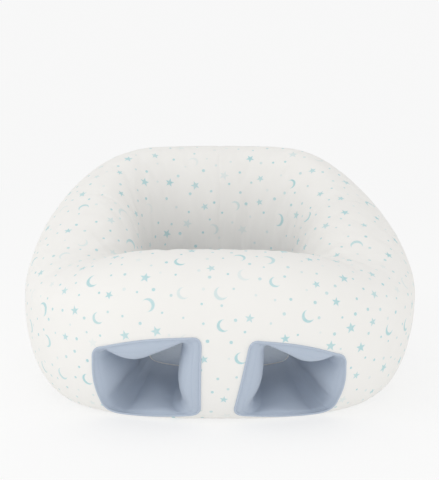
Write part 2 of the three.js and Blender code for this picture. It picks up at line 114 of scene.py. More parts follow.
class Finish:
    """A material that is put together node by node."""

    def __init__(self, name):
        self.material = bpy.data.materials.new(name)
        self.material.use_nodes = True
        self.tree = self.material.node_tree
        self.tree.nodes.clear()

    def node(self, kind, settings=None, values=None):
        made = self.tree.nodes.new("ShaderNode" + kind)
        for key, value in (settings or {}).items():
            setattr(made, key, value)
        for key, value in (values or {}).items():
            socket = socket_of(made.inputs, key)
            if isinstance(value, Amount):
                self.tree.links.new(value.socket, socket)
            else:
                socket.default_value = value
        return Outputs(self, made)

    def place(self):
        return self.node("TexCoord")["Object"]

    def stored(self, name):
        return self.node("Attribute", {"attribute_name": name})["Vector"]

    def parts(self, vector):
        split = self.node("SeparateXYZ", None, {"Vector": vector})
        return split["X"], split["Y"], split["Z"]

    def noise(self, vector, scale, detail=2.0, roughness=0.5):
        values = {"Vector": vector, "Scale": scale, "Detail": detail, "Roughness": roughness}
        return self.node("TexNoise", None, values)["Fac"]

    def mix(self, share, a, b):
        values = {"Factor_Float": share, "A_Color": a, "B_Color": b}
        return self.node("Mix", {"data_type": "RGBA"}, values)["Result_Color"]

    def bump(self, height, depth, strength=1.0, under=None):
        values = {"Height": height, "Distance": depth, "Strength": strength}
        if under is not None:
            values["Normal"] = under
        return self.node("Bump", None, values)["Normal"]

    def done(self, **values):
        values = {key.replace("_", " "): value for key, value in values.items()}
        surface = self.node("BsdfPrincipled", None, values)["BSDF"]
        self.node("OutputMaterial", None, {"Surface": surface})
        return self.material


def new_object(name, data):
    made = bpy.data.objects.new(name, data)
    stage.collection.objects.link(made)
    return made


def mesh_of(name, points, faces):
    mesh = bpy.data.meshes.new(name)
    points = np.asarray(points, float).reshape(-1, 3)
    mesh.from_pydata(points.tolist(), [], np.asarray(faces).tolist())
    mesh.polygons.foreach_set("use_smooth", [True] * len(mesh.polygons))
    return mesh


def triples(items, key):
    values = np.zeros(len(items) * 3)
    items.foreach_get(key, values)
    return values.reshape(-1, 3)


def points_of(mesh):
    return triples(mesh.vertices, "co")


def move_points(mesh, points):
    mesh.vertices.foreach_set("co", points.ravel())


def bake(made):
    """Applies an object's modifiers to its mesh."""
    graph = bpy.context.evaluated_depsgraph_get()
    mesh = bpy.data.meshes.new_from_object(made.evaluated_get(graph))
    made.modifiers.clear()
    made.data = mesh


PRESSURE, STIFFNESS = 4.0, 15.0


def settle(mesh, holding, growth, frames):
    """Blows the mesh up as cloth for a few frames, and returns where its points come to. Holding is
    how firmly each point keeps its place, from 0 to 1."""
    made = new_object("settling", mesh.copy())
    group = made.vertex_groups.new(name="holding")
    for value in np.unique(holding):
        group.add(np.flatnonzero(holding == value).tolist(), float(value), "REPLACE")
    cloth = made.modifiers.new("Cloth", "CLOTH")
    cloth.collision_settings.use_collision = False
    settings = cloth.settings
    settings.quality = 5
    settings.mass = 0.15
    settings.tension_stiffness = settings.compression_stiffness = STIFFNESS
    settings.shear_stiffness = STIFFNESS / 3
    settings.bending_stiffness = 0.8
    settings.use_pressure = True
    settings.uniform_pressure_force = PRESSURE
    settings.effector_weights.gravity = 0
    settings.vertex_group_mass = "holding"
    settings.shrink_min = -growth
    for number in range(1, frames + 1):
        stage.frame_set(number)
    graph = bpy.context.evaluated_depsgraph_get()
    settled = points_of(made.evaluated_get(graph).data)
    bpy.data.objects.remove(made)
    stage.frame_set(1)
    return settled


def liner_cloth():
    finish = Finish("liner_cloth")
    place = finish.place()
    fibre = finish.noise(place, 900.0, 3.0, 0.7)
    lumps = finish.noise(place, 55.0, 3.0, 0.6)
    shade = (lumps * 0.6 + fibre * 0.4).held()
    colour = finish.mix(shade, (0.74, 0.73, 0.70, 1), (0.90, 0.895, 0.87, 1))
    soft = finish.bump(lumps, 0.002, 0.5)
    return finish.done(
        Base_Color=colour,
        Roughness=0.8 + 0.15 * fibre,
        Normal=finish.bump(fibre, 0.0003, 0.6, soft),
        Sheen_Weight=0.25,
    )


CASE_VOXEL, CASE_SLACK, CASE_TRAVEL, CASE_CLEARANCE = 0.0055, 0.0035, 0.005, 0.003
CASE_HOLDING, CASE_GROWTH, CASE_FRAMES = 0.15, 0.03, 12
SLUMP, SLUMP_TURN, SLUMP_SPREAD = 0.036, 110, 24
FULL_SIZE, RAMP_SIZE = (1, 1, 1), (0.86, 0.86, 0.72)


def half_turns(degrees):
    """Degrees from -180 to 180."""
    return (degrees + 180) % 360 - 180


def bell(distance, width):
    """1 where there is no distance, and falling away to nothing some widths off."""
    return np.exp(-((distance / width) ** 2))


def slumped(turn):
    """The share of its height that the ring keeps where the stuffing has sunk at one shoulder."""
    return 1 - SLUMP * bell(half_turns(np.degrees(turn)) - SLUMP_TURN, SLUMP_SPREAD)


liner = liner_cloth()
for name, fill, size in (
    ("front_roll", 0.75, FULL_SIZE),
    ("centre_post", 0.8, FULL_SIZE),
    ("arm_left", 0.75, FULL_SIZE),
    ("arm_right", 0.75, FULL_SIZE),
    ("back", 0.8, FULL_SIZE),
    ("seat", 0.5, FULL_SIZE),
    ("leg_left_ramp", 0.5, RAMP_SIZE),
    ("leg_right_ramp", 0.5, RAMP_SIZE),
):
    node, solid = name + "_filling", bmesh.new()
    solid.from_mesh(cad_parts[node].data)
    bmesh.ops.remove_doubles(solid, verts=solid.verts, dist=1e-5)
    wall = BVHTree.FromBMesh(solid)
    mesh = bpy.data.meshes.new(node)
    solid.to_mesh(mesh)
    solid.free()
    case = new_object(name + "_case", mesh)
    remesh = case.modifiers.new("Remesh", "REMESH")
    remesh.mode, remesh.voxel_size = "VOXEL", CASE_VOXEL
    ease = case.modifiers.new("Ease", "SMOOTH")
    ease.factor, ease.iterations = 0.5, 5
    bake(case)
    start = points_of(case.data) - triples(case.data.vertices, "normal") * CASE_SLACK
    move_points(case.data, start)
    holding = np.full(len(start), CASE_HOLDING)
    moved = settle(case.data, holding, CASE_GROWTH, CASE_FRAMES) - start
    length = np.linalg.norm(moved, axis=1, keepdims=True)
    start = start + moved * np.minimum(1, CASE_TRAVEL / np.maximum(length, 1e-9))
    for i, point in enumerate(start):
        near, facing, _, _ = wall.find_nearest(point)
        depth = (Vector(point) - near).dot(facing)
        if depth > -CASE_CLEARANCE:
            start[i] = near - facing * CASE_CLEARANCE
    foot = (start.min(0) + start.max(0)) / 2 * (1, 1, 0) + (0, 0, CASE_CLEARANCE)
    start = foot + (start - foot) * size
    start[:, 2] *= slumped(np.arctan2(start[:, 0], -start[:, 1]))
    move_points(case.data, start)
    smooth = case.modifiers.new("Subdivision", "SUBSURF")
    smooth.levels = smooth.render_levels = 1
    bake(case)
    case.data.polygons.foreach_set("use_smooth", [True] * len(case.data.polygons))
    case.data.materials.clear()
    case.data.materials.append(liner)
    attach(case, "root")
    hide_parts(node)

# Printed cover. One front panel from side seam to side seam and two back panels, cut from brushed
# knit with a scattered print of stars, moons and dots. It goes over the crown and down to a seam
# in the well, and the front panel has two leg holes.

SEAT_WIDTH, SEAT_DEPTH, BACK_HEIGHT, FRONT_HEIGHT = 0.470, 0.430, 0.260, 0.188
BULGE_FRONT, BULGE_BACK, BASE_TUCK = 0.117, 0.099, 0.049
CROWN_WIDTH, CROWN_FRONT, CROWN_BACK = 0.300, 0.141, 0.152
WELL_DRAW_IN, WELL_FLARE, WAIST_SHARE, WELL_SEAM = 0.060, 0.012, 0.55, 0.120
CREASE_TURN, CREASE_DIP, CREASE_SPREAD, CLIMB_END = 60.0, 0.019, 20.0, 150.0
OUTER_SQUARENESS, CROWN_SQUARENESS = 2.5, 2.8
SIDE_SEAM = math.radians(102)
CLOTH = 0.0016


def eased(value, low, high):
    share = np.clip((value - low) / (high - low), 0, 1)
    return share * share * (3 - 2 * share)


def plan_radius(turn, half_width, reach, squareness):
    side, ahead = np.abs(np.sin(turn)) / half_width, np.abs(np.cos(turn)) / reach
    return (side**squareness + ahead**squareness) ** (-1 / squareness)


class Ring:
    """The ring's own measures at each turn."""

    def __init__(self, turn):
        away = np.abs(half_turns(np.degrees(turn)))
        climb = eased(away, CREASE_TURN, CLIMB_END)
        dip = CREASE_DIP * bell(away - CREASE_TURN, CREASE_SPREAD)
        self.height = FRONT_HEIGHT + (BACK_HEIGHT - FRONT_HEIGHT) * climb - dip
        self.height *= slumped(turn)
        reach = np.where(np.cos(turn) > 0, CROWN_FRONT, CROWN_BACK)
        self.outer = plan_radius(turn, SEAT_WIDTH / 2, SEAT_DEPTH / 2, OUTER_SQUARENESS)
        self.crown = plan_radius(turn, CROWN_WIDTH / 2, reach, CROWN_SQUARENESS)
        self.base, self.well = self.outer - BASE_TUCK, self.crown - WELL_DRAW_IN
        self.bulge = BULGE_FRONT + (BULGE_BACK - BULGE_FRONT) * climb
        self.waist = self.height * WAIST_SHARE

    def well_radius(self, z):
        rise = np.clip((z - self.waist) / (self.height - self.waist), 0, 1)
        above = self.crown - WELL_DRAW_IN * np.sqrt(1 - rise**2)
        below = self.well + WELL_FLARE * (1 - z / self.waist) ** 2
        return np.where(z > self.waist, above, below)

    def outer_radius(self, z):
        low = np.arccos(np.clip(1 - z / self.bulge, -1, 1))
        high = np.arcsin(np.clip((z - self.bulge) / (self.height - self.bulge), -1, 1))
        above = self.crown + (self.outer - self.crown) * np.cos(high)
        return np.where(z > self.bulge, above, self.base + BASE_TUCK * np.sin(low))

    def section(self, place):
        """The radius and height at each place up the section."""
        quarter = np.minimum(np.floor(place), 3)
        q = np.pi / 2 * (place - quarter)
        tucked, leaning = BASE_TUCK * np.sin(q), (self.outer - self.crown) * np.cos(q)
        rising = self.bulge + (self.height - self.bulge) * np.sin(q)
        falling = WELL_SEAM + (self.height - WELL_SEAM) * np.cos(q)
        lining = WELL_SEAM * (1 - (place - 3))
        parts = [quarter == k for k in range(3)]
        radii = [self.base + tucked, self.crown + leaning, self.well_radius(falling)]
        heights = [self.bulge * (1 - np.cos(q)), rising, falling]
        radius = np.select(parts, radii, self.well_radius(lining))
        return radius, np.select(parts, heights, lining)


def spun(turn, radius, height):
    return np.stack([radius * np.sin(turn), -radius * np.cos(turn), height], -1)


def ring_points(turn, place):
    return spun(turn, *Ring(turn).section(place))


def norm(vectors):
    return np.linalg.norm(vectors, axis=-1)


def unit(vectors):
    return vectors / norm(vectors)[..., None]


def ring_frame(turn, place):
    """Points on the ring, with the directions round it, up its section and straight out."""
    step = 1e-4
    point = ring_points(turn, place)
    inside = np.where(place < 0.5, place + step, place - step)
    along = unit(ring_points(turn + step, place) - ring_points(turn - step, place))
    up = np.where((place < 0.5)[..., None], 1, -1) * (ring_points(turn, inside) - point)
    up = unit(up - along * (along * up).sum(-1, keepdims=True))
    return point, along, up, np.cross(along, up)


# How the leg holes lie: the outline of a leg funnel at a share of its way from rim to exit, as
# points of distance from the middle and height, in the order floor, outer wall, roof, inner wall.
# Hand is 1 for the hole on the left, whose rim leans out, and -1 for the one on the right.
RIM_REACH, EXIT_REACH = 0.190, 0.0599
RIM_CORNERS = {
    -1: ((0.0215, 0.0095), (0.1405, -0.0060), (0.1415, 0.0880), (0.0188, 0.1085)),
    1: ((0.0160, 0.0095), (0.1405, -0.0060), (0.1430, 0.0785), (0.0317, 0.1056)),
}
EXIT_CORNERS = ((0.0130, 0.0420), (0.0860, 0.0420), (0.0864, 0.1060), (0.0130, 0.1120))
CORNER_ROUND = ((0.013, 0.024, 0.014, 0.012), (0.012, 0.012, 0.010, 0.010))
ROOF_ARCH, POST_SWELL, FLOOR_SWELL = 0.0045, 0.0245, 0.005
ROOF_DROOP = {-1: 0.0135, 1: 0.0112}
ROOF_SKEW, ROOF_FULLNESS = 0.12, 2.3
WALL_BOW, WALL_SWELL = 0.0025, 0.013
EXIT_DROOP, EXIT_SWELL = 0.5, 0.35
SIDE_STEPS, BEND_STEPS = 32, 5
SIDE_POINTS = SIDE_STEPS + 2 * BEND_STEPS - 2


def funnel_outline(share, droop, swell, hand):
    """Outline points for each share, as an array of shares by points by two. Droop is how far the
    roof has sunk from its arch, and swell how far the walls bulge, both from 0 to 1. Each side runs
    from the middle of one rounded corner to the middle of the next."""
    rim, far = np.array(RIM_CORNERS[hand]), np.array(EXIT_CORNERS)
    corners = rim + (far - rim) * share[..., None, None]
    near_round, far_round = np.array(CORNER_ROUND)
    rounds = near_round + (far_round - near_round) * np.clip(share[..., None], 0, 1)
    corners[..., [0, 3], 0] += 0.8 * POST_SWELL * swell
    corners[..., [1, 2], 0] -= 0.5 * WALL_SWELL * swell
    corners[..., 2, 1] -= 0.3 * ROOF_DROOP[hand] * droop
    corners[..., 3, 1] -= 0.45 * ROOF_DROOP[hand] * droop
    rows = []
    for side in range(4):
        ends = []
        for corner, start in ((side, 0.5), ((side + 1) % 4, 0.0)):
            middle = corners[..., corner, :]
            reach = rounds[..., corner, None]
            a = middle + unit(corners[..., (corner + 3) % 4, :] - middle) * reach
            b = middle + unit(corners[..., (corner + 1) % 4, :] - middle) * reach
            bend = np.linspace(start, start + 0.5, BEND_STEPS)
            ends.append([(1 - t) ** 2 * a + 2 * t * (1 - t) * middle + t * t * b for t in bend])
        first, last = ends[0][-1], ends[1][0]
        straight = []
        for t in np.arange(1, SIDE_STEPS) / SIDE_STEPS:
            bow = math.sin(math.pi * t)
            sag = ROOF_DROOP[hand] * (1 - abs(2 * (t + ROOF_SKEW * bow) - 1) ** ROOF_FULLNESS)
            floor = FLOOR_SWELL * swell * bow
            outer_wall = (WALL_BOW * (1 - swell) - 0.5 * WALL_SWELL * swell) * bow
            roof = ROOF_ARCH * bow - (ROOF_ARCH * bow + sag) * droop
            inner_wall = 0.2 * POST_SWELL * swell * bow
            point = first + (last - first) * t
            point[..., 1 - side % 2] += (floor, outer_wall, roof, inner_wall)[side]
            straight.append(point)
        rows += [*ends[0], *straight, *ends[1][:-1]]
    return np.stack(rows, -2)


def funnel_gap(points, droop, swell, hand):
    """How far points lie outside a leg hole, and below zero inside it, in the hole's section."""
    share = (points[:, 1] + RIM_REACH) / (RIM_REACH - EXIT_REACH)
    outline = funnel_outline(share, droop, swell, hand)
    here = np.stack([np.abs(points[:, 0]), points[:, 2]], -1)[:, None]
    following = np.roll(outline, -1, 1)
    edge, away = following - outline, here - outline
    share = np.clip((away * edge).sum(-1) / (edge**2).sum(-1), 0, 1)
    distance = norm(away - edge * share[..., None]).min(1)
    low, high = outline[..., 1] <= here[..., 1], following[..., 1] <= here[..., 1]
    turned = edge[..., 0] * away[..., 1] - edge[..., 1] * away[..., 0]
    winding = (low & ~high & (turned > 0)).sum(1) - (~low & high & (turned < 0)).sum(1)
    return np.where(winding != 0, -distance, distance)


def rim_gap(turn, place):
    """How far each place on the ring is from a leg hole, with far ones given as 1."""
    points = ring_points(turn, place).reshape(-1, 3)
    gap = np.ones(len(points))
    outside = (place.ravel() < 2) & (points[:, 1] < -0.10) & (points[:, 2] < 0.16)
    inside = (place.ravel() > 2.5) & (points[:, 1] < -0.02) & (points[:, 2] < 0.16)
    for zone, droop, swell in ((outside, 0.0, 0.0), (inside, EXIT_DROOP, EXIT_SWELL)):
        for hand in (-1, 1):
            here = zone & ((points[:, 0] > 0) == (hand > 0))
            if here.any():
                gap[here] = funnel_gap(points[here], droop, swell, hand)
    return gap.reshape(turn.shape)


# The cover's slack: the whole ring is blown up once as cloth on a coarse grid, with the seams and
# the rims of the leg holes held, and its folds are carried over to the fine panels.
TURN_STEPS, PLACE_STEPS = 200, (19, 17, 14, 12)
FOLD_START, FOLD_TRAVEL, COVER_GROWTH, COVER_FRAMES = 0.004, 0.006, 0.022, 20
COVER_HOLDING, WELL_SEAM_HOLDING = 0.2, 0.6


def grid_faces(grid, closed=False):
    wide, tall = grid.shape[:2]
    index = np.arange(wide * tall).reshape(wide, tall)
    near = index if closed else index[:-1]
    far = np.roll(index, -1, 0) if closed else index[1:]
    return np.stack([near[:, :-1], far[:, :-1], far[:, 1:], near[:, 1:]], -1).reshape(-1, 4)


def grid_mesh(name, points, order=1):
    """A mesh over a grid of points, whose faces look the other way where the order is -1."""
    return mesh_of(name, points, grid_faces(points)[:, ::order])


def slack_of_cover():
    places = [k + np.arange(n) / n for k, n in enumerate(PLACE_STEPS)]
    places = np.concatenate([*places, [4.0]])
    turns = np.arange(TURN_STEPS) * 2 * np.pi / TURN_STEPS
    turn, place = np.meshgrid(turns, places, indexing="ij")
    point, _, _, out = ring_frame(turn, place)
    start = (point - out * FOLD_START).reshape(-1, 3)
    faces = grid_faces(turn, closed=True)
    foot = np.arange(TURN_STEPS) * len(places) + len(places) - 1
    seam = np.arange(TURN_STEPS) * len(places)
    closing = np.stack([foot, np.roll(foot, -1), np.roll(seam, -1), seam], -1)
    gap = rim_gap(turn, place)
    holding = np.where(gap < 0.004, 1.0, COVER_HOLDING)
    holding[:, [0, -1]] = 1.0
    holding[:, np.argmin(np.abs(places - 3))] = WELL_SEAM_HOLDING
    mesh = mesh_of("slack", start, np.concatenate([faces, closing]))
    settled = settle(mesh, holding.ravel(), COVER_GROWTH, COVER_FRAMES).reshape(point.shape)
    fold = ((settled - point) * out).sum(-1) + FOLD_START
    fold -= fold.mean(0, keepdims=True)
    return places, np.clip(fold, -FOLD_TRAVEL, FOLD_TRAVEL)


fold_places, folds = slack_of_cover()


def spline(share):
    """Weights of four neighbours in a smooth curve through a row of values."""
    s = share
    weights = [(1 - s) ** 3, 3 * s**3 - 6 * s**2 + 4, -3 * s**3 + 3 * s**2 + 3 * s + 1, s**3]
    return np.stack(weights, -1) / 6


def fold_at(turn, place):
    across = turn / (2 * np.pi) * TURN_STEPS
    column = np.floor(across).astype(int)
    row = np.clip(np.searchsorted(fold_places, place, side="right") - 1, 0, len(fold_places) - 2)
    down = (place - fold_places[row]) / (fold_places[row + 1] - fold_places[row])
    wide, tall = spline(across - column), spline(down)
    total = 0
    for i in range(4):
        for j in range(4):
            near = (column + i - 1) % TURN_STEPS, np.clip(row + j - 1, 0, len(fold_places) - 1)
            total = total + wide[..., i] * tall[..., j] * folds[near]
    return total


# Creases listed by turn from the middle of the crease, width in degrees and depth in millimetres,
# creases in the well by turn, width and depth, and dents or swells by turn, width, place, height
# and how far they stand out.
CREASES = ((-7, 2.6, 2.0), (-1.5, 2.2, 3.0), (4.5, 2.8, 2.6), (11, 3.4, 1.9), (19, 4, 1.2))
CREASE_PLACE, CREASE_TALL, CREASE_LEAN = 2.15, 0.55, 5.0
WELL_CREASES = ((140, 5, 1.3), (158, 6, 1.0), (-150, 5, 1.2), (-168, 7, 1.0), (176, 4, 0.8))
DENTS = ((40, 20, 2.0, 0.5, -2.5), (78, 10, 2.1, 0.4, 2.0), (-88, 28, 1.05, 0.28, -2.5))
SEAM_DEPTH, SEAM_WIDTH, SEAM_PUCKER, PUCKER_REACH = 0.0005, 0.0020, 0.00035, 0.011
WELL_SEAM_DEPTH, WELL_SEAM_WIDTH = 0.0016, 0.0035
RIM_EASE, RIM_SINK = 0.016, 0.0006


def cover_offset(turn, place, gap):
    """How far the cover stands out from the ring's own form: its folds, the creases that spread
    from the front corners of the well, and the pinch along each seam."""
    degrees = half_turns(np.degrees(turn))
    away = np.abs(degrees)
    crown = bell(place - CREASE_PLACE, CREASE_TALL)
    front = np.exp(-((away / 48) ** 4)) * (place < 2)
    strength = 0.35 + 0.9 * crown * bell(away - 66, 26) + 0.35 * (place > 2)
    offset = fold_at(turn, place) * strength * (1 - 0.6 * front)
    near = away - CREASE_TURN
    for at, wide, deep in CREASES:
        lean = at + CREASE_LEAN * (CREASE_PLACE - place) * np.sign(at + 2)
        offset -= deep * 1e-3 * bell(near - lean, wide) * crown
    for at, wide, deep in WELL_CREASES:
        offset -= deep * 1e-3 * bell(degrees - at, wide) * bell(place - 2.75, 0.4)
    for at, wide, level, tall, out in DENTS:
        offset += out * 1e-3 * bell(degrees - at, wide) * bell(place - level, tall)
    reach = Ring(turn).section(place)[0]
    on_cover = place < 3.001
    for seam in (-102.0, 102.0, 180.0):
        distance = np.radians(half_turns(degrees - seam)) * reach
        offset -= SEAM_DEPTH * bell(distance, SEAM_WIDTH) * on_cover
        pucker = np.sin(place * 95 + seam) * bell(distance, PUCKER_REACH)
        offset += SEAM_PUCKER * pucker * on_cover
    offset -= WELL_SEAM_DEPTH * bell((place - 3) * 0.10, WELL_SEAM_WIDTH)
    pucker = np.sin(turn * 110) + 0.6 * np.sin(turn * 61 + 1)
    offset += 0.0003 * pucker * bell(place - 3, 0.12)
    offset += 0.0004 * pucker * bell(place, 0.10)
    return offset * eased(gap, 0.0, RIM_EASE) - RIM_SINK * (1 - eased(gap, 0.0, 0.006))


def cut_holes(mesh, gaps):
    """Cuts away what has a gap below nothing, along the line where the gap is nothing."""
    made = bmesh.new()
    made.from_mesh(mesh)
    made.verts.ensure_lookup_table()
    layer = made.verts.layers.float.new("gap")
    for vert, gap in zip(made.verts, gaps.tolist()):
        vert[layer] = gap
    for edge in list(made.edges):
        a, b = edge.verts
        if (a[layer] < 0) != (b[layer] < 0):
            share = min(max(a[layer] / (a[layer] - b[layer]), 0.02), 0.98)
            _, added = bmesh.utils.edge_split(edge, a, share)
            added[layer] = 0
            added.tag = True
    for face in list(made.faces):
        on = [v for v in face.verts if v.tag]
        if len(on) == 2:
            bmesh.utils.face_split(face, on[0], on[1])
    inside = [f for f in made.faces if min(v[layer] for v in f.verts) < -1e-9]
    bmesh.ops.delete(made, geom=inside, context="FACES")
    loose = [v for v in made.verts if not v.link_faces]
    bmesh.ops.delete(made, geom=loose, context="VERTS")
    made.verts.layers.float.remove(made.verts.layers.float["gap"])
    made.to_mesh(mesh)
    made.free()


# The print is laid on motif by motif: each has a place on the ring, a size, a tilt and
# an ink, and every face of the cloth keeps where it lies from the motif nearest to it. Moons have
# an ink below zero, and some of them are turned over.
MOTIF_SPACING, DOT_SPACING, DOT_CLEARANCE = 0.0285, 0.0150, 0.0125
MOON_SHARE, TURNED_SHARE = 0.36, 0.22
RNG = np.random.default_rng(20)


def scattered(spacing, tries, clear_of=None, clearance=0.0):
    """Places on the ring, no two nearer than the spacing, spread evenly over the cloth."""
    turn, place = RNG.uniform(0, 2 * np.pi, tries), RNG.uniform(0, 4, tries)
    points, step = ring_points(turn, place), 1e-3
    across = ring_points(turn + step, place) - points
    up = ring_points(turn, np.minimum(place + step, 4)) - points
    area = norm(across) * norm(up)
    kept = RNG.uniform(0, area.max(), tries) < area
    turn, place = turn[kept], place[kept]
    taken, chosen = np.empty((0, 3)), []
    for i, point in enumerate(ring_points(turn, place)):
        if len(taken) and np.linalg.norm(taken - point, axis=1).min() < spacing:
            continue
        if clear_of is not None and np.linalg.norm(clear_of - point, axis=1).min() < clearance:
            continue
        chosen.append(i)
        taken = np.vstack([taken, point])
    return turn[chosen], place[chosen]


def stamp(mesh, name, domain, values):
    """Keeps three numbers on every point or face corner of a mesh, for its finish to read."""
    layer = mesh.attributes.new(name, "FLOAT_VECTOR", domain)
    layer.data.foreach_set("vector", values.astype(np.float32).ravel())


class Scatter:
    """Motifs with their places, directions, sizes and inks."""

    def __init__(self, turn, place, size, tilt, ink):
        self.centre, along, up, _ = ring_frame(turn, place)
        cos, sin, size = np.cos(tilt)[:, None], np.sin(tilt)[:, None], size[:, None]
        self.right = (along * cos + up * sin) / size
        self.top = (up * cos - along * sin) / size
        self.ink = ink
        self.tree = KDTree(len(turn))
        for i, point in enumerate(self.centre):
            self.tree.insert(point, i)
        self.tree.balance()

    def lay(self, mesh, name):
        nearest = [self.tree.find(centre)[1] for centre in triples(mesh.polygons, "center")]
        motif = np.repeat(nearest, [face.loop_total for face in mesh.polygons])
        away = points_of(mesh)[[corner.vertex_index for corner in mesh.loops]] - self.centre[motif]
        right, top = (away * self.right[motif]).sum(-1), (away * self.top[motif]).sum(-1)
        stamp(mesh, name, "CORNER", np.stack([right, top, self.ink[motif]], -1))


def lay_motifs():
    turn, place = scattered(MOTIF_SPACING, 9000)
    count = len(turn)
    centres = ring_points(turn, place)
    moon = RNG.uniform(size=count) < MOON_SHARE
    size = np.where(moon, RNG.uniform(0.0060, 0.0082, count), RNG.uniform(0.0048, 0.0072, count))
    turned_over = moon & (RNG.uniform(size=count) < TURNED_SHARE)
    tilt = RNG.normal(0, 0.24, count) + np.where(moon, 0.30, 0.0)
    tilt += np.where(turned_over, np.pi, 0.0)
    strong, faint = RNG.uniform(0.75, 1.0, count), RNG.uniform(0.12, 0.5, count)
    ink = np.where(RNG.uniform(size=count) < np.where(moon, 0.6, 0.78), strong, faint)
    motifs = Scatter(turn, place, size, tilt, np.where(moon, -ink, ink))
    turn, place = scattered(DOT_SPACING, 30000, centres, DOT_CLEARANCE)
    count = len(turn)
    strong = RNG.uniform(size=count) < 0.7
    ink = np.where(strong, RNG.uniform(0.6, 1, count), RNG.uniform(0.15, 0.5, count))
    dots = Scatter(turn, place, RNG.uniform(0.0015, 0.0023, count), 0 * turn, ink)
    return motifs, dots


motifs, dots = lay_motifs()


KNIT_WIDTH, KNIT_LENGTH, KNIT_BACK_LENGTH = 0.0013, 0.0010, 0.0007
STAR_NOTCH, MOON_BITE, MOON_BITE_AT = 0.43, 0.86, (0.40, 0.06)


def knit(finish, length):
    """The V stitches of the knit, as a height from 0 to 1, on the cloth's own run in metres."""
    u, v, _ = finish.parts(finish.stored("cloth_run"))
    column = (u / KNIT_WIDTH).sum("PINGPONG", 0.5) * 2
    row = ((v / length + column * 0.7) * (2 * math.pi)).sine() * 0.5 + 0.5
    return (column * math.pi).sine() * (0.55 + 0.45 * row)


def hypotenuse(x, y):
    return (x * x + y * y).sum("SQRT")


def printed_knit():
    finish = Finish("printed_knit")
    place = finish.place()
    x, y, ink = finish.parts(finish.stored("motif"))
    distance = hypotenuse(x, y)
    point_turn = math.pi / 5
    angle = x.sum("ARCTAN2", y).sum("PINGPONG", point_turn)
    run, side = distance * angle.sum("COSINE"), distance * angle.sine()
    notch_x, notch_y = STAR_NOTCH * math.cos(point_turn), STAR_NOTCH * math.sin(point_turn)
    length = math.hypot(notch_x - 1, notch_y)
    star = ((notch_x - 1) * side - notch_y * (run - 1)) / length
    hollow = hypotenuse(x - MOON_BITE_AT[0], y - MOON_BITE_AT[1]) - MOON_BITE
    moon = (1 - distance).sum("MINIMUM", hollow)
    is_moon = ink.sum("LESS_THAN", 0.0)
    shape = star * (1 - is_moon) + moon * is_moon
    ragged = finish.noise(place, 1500.0) - 0.5
    motif = (shape * 9.0 + 0.25 + ragged * 1.1).held() * ink.sum("ABSOLUTE")
    dot_x, dot_y, dot_ink = finish.parts(finish.stored("dot"))
    dot = ((1 - hypotenuse(dot_x, dot_y)) * 3.5 + ragged * 0.9).held() * dot_ink
    wash = finish.noise(place, 420.0, 3.0, 0.6)
    mask = (motif.most(dot) * (0.62 + 0.55 * wash)).held()
    tint = finish.noise(place, 14.0, 1.0)
    ink_colour = finish.mix(tint, (0.340, 0.605, 0.635, 1), (0.435, 0.680, 0.725, 1))
    stitches = knit(finish, KNIT_LENGTH)
    fuzz = finish.noise(place, 2600.0, 2.0, 0.7)
    pale = finish.noise(place, 9.0)
    cloth = finish.mix(pale, (0.870, 0.858, 0.828, 1), (0.900, 0.890, 0.865, 1))
    shaded = finish.mix((1 - stitches) * 0.08, cloth, (0.62, 0.60, 0.56, 1))
    colour = finish.mix(mask * 0.95, shaded, ink_colour)
    soft = finish.bump(stitches, 0.00025, 0.55)
    return finish.done(
        Base_Color=colour,
        Roughness=0.86 + 0.10 * fuzz,
        Normal=finish.bump(fuzz, 0.0001, 0.5, soft),
        Sheen_Weight=0.12,
    )


def knit_reverse():
    finish = Finish("knit_reverse")
    place = finish.place()
    loops = knit(finish, KNIT_BACK_LENGTH)
    pale = finish.noise(place, 12.0)
    colour = finish.mix(pale, (0.80, 0.79, 0.76, 1), (0.85, 0.84, 0.815, 1))
    # Painted shade: the base colour is darkened towards grey in the hollows between the knit loops.
    return finish.done(
        Base_Color=finish.mix((1 - loops) * 0.2, colour, (0.6, 0.59, 0.56, 1)),
        Roughness=0.9 + 0.06 * pale,
        Normal=finish.bump(loops, 0.0003, 0.5),
    )


printed, reverse = printed_knit(), knit_reverse()


SEAM_PARTING, SEAM_RADIUS, CELL = 0.00002, 0.2, 0.0031
WIDEST_REACH, RUN_REACH, QUARTER_RUN = 0.225, 0.21, 0.118


def ring_panel(name, turn_low, turn_high, place_low, place_high, margin):
    """A panel of cloth on the ring between two turns and two places. Its leg holes are wider than
    the funnels by the margin."""
    wide = round((turn_high - turn_low) * WIDEST_REACH / CELL)
    tall = round((place_high - place_low) * QUARTER_RUN / CELL)
    edge = SEAM_PARTING / SEAM_RADIUS
    turns = np.linspace(turn_low + edge, turn_high - edge, wide + 1)
    turn, place = np.meshgrid(turns, np.linspace(place_low, place_high, tall + 1), indexing="ij")
    gap = rim_gap(turn, place)
    point, _, _, out = ring_frame(turn, place)
    steps = np.diff(point, axis=1, prepend=point[:, :1])
    rise = np.cumsum(norm(steps), 1)
    point = point + out * cover_offset(turn, place, gap)[..., None]
    mesh = grid_mesh(name, point)
    stamp(mesh, "cloth_run", "POINT", np.stack([turn * RUN_REACH, rise, 0 * rise], -1))
    flat = cut_size(mesh, wide + 1)
    if gap.min() < 0:
        cut_holes(mesh, gap.ravel() - margin)
    return mesh, flat


def cut_size(mesh, wide):
    """The width and length of cloth that a panel is cut from, off a grid of so many columns."""
    points = points_of(mesh).reshape(wide, -1, 3)
    across = norm(np.diff(points, axis=0)).sum(0).max()
    along = norm(np.diff(points, axis=1)).sum(1).max()
    return float(across), float(along)


FLOOR_CLEARANCE, MOST_REACH = 0.0002, 1.5


